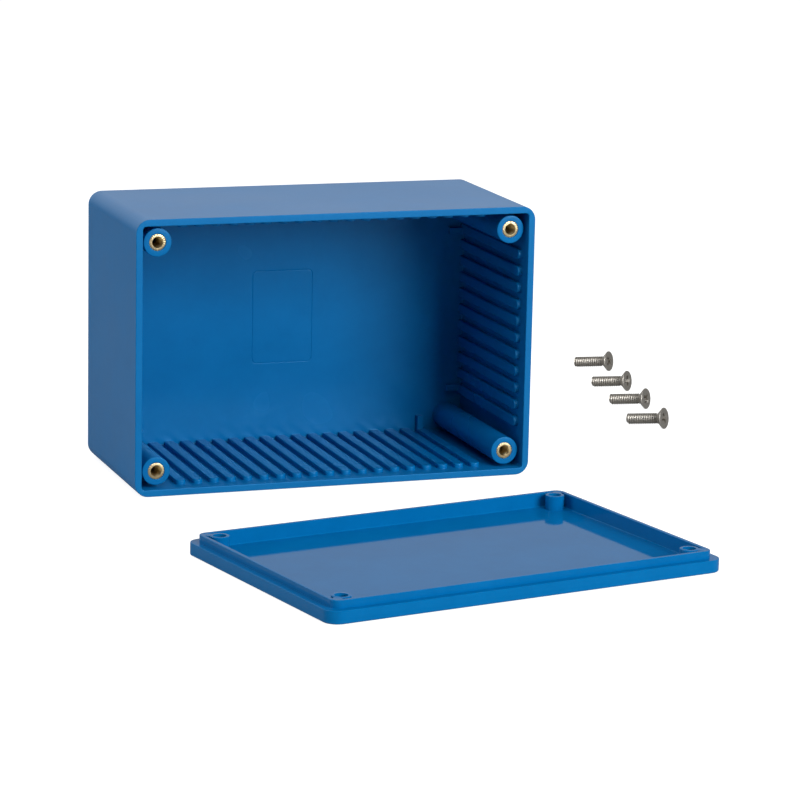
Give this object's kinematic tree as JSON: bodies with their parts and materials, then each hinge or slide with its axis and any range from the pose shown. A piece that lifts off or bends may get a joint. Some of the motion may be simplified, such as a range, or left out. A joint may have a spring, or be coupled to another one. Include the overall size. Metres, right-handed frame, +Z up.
{
  "type": "plastic project enclosure",
  "caption": "Ribbed five-sided plastic case standing open on its side, its tray lid laid in front, with brass threaded inserts and loose countersunk screws.",
  "frame": {"origin": "on the outer long side wall that the shell stands on, at the middle of its length and depth", "axes": "+X along the case's length, +Y from the mouth towards the back face, +Z up"},
  "size_m": [0.2062, 0.2835, 0.08],
  "materials": {
    "blue_abs": "satin",
    "brass": "knurled, satin",
    "stainless_steel": "plain"
  },
  "bodies": {
    "shell": {"base_shell": "blue_abs", "insert_1": "brass", "insert_2": "brass", "insert_3": "brass", "insert_4": "brass"},
    "lid": {"lid": "blue_abs"},
    "screw_1": {"screw_1": "stainless_steel"},
    "screw_2": {"screw_2": "stainless_steel"},
    "screw_3": {"screw_3": "stainless_steel"},
    "screw_4": {"screw_4": "stainless_steel"}
  },
  "joints": [
    {"name": "lid_lift", "type": "slide", "parent": "shell", "child": "lid", "axis": [0, 0, 1], "range_m": [0, 0.09]},
    {"name": "screw_1_turn", "type": "hinge", "parent": "shell", "child": "screw_1", "pos_m": [0.14131, 0.10592, 0.00332], "axis": [0.663, -0.7363, 0.1351], "continuous": true},
    {"name": "screw_2_turn", "type": "hinge", "parent": "shell", "child": "screw_2", "pos_m": [0.13471, 0.07442, 0.00332], "axis": [0.663, -0.7363, 0.1351], "continuous": true},
    {"name": "screw_3_turn", "type": "hinge", "parent": "shell", "child": "screw_3", "pos_m": [0.12981, 0.04742, 0.00332], "axis": [0.663, -0.7363, 0.1351], "continuous": true},
    {"name": "screw_4_turn", "type": "hinge", "parent": "shell", "child": "screw_4", "pos_m": [0.12381, 0.01902, 0.00332], "axis": [0.663, -0.7363, 0.1351], "continuous": true}
  ]
}
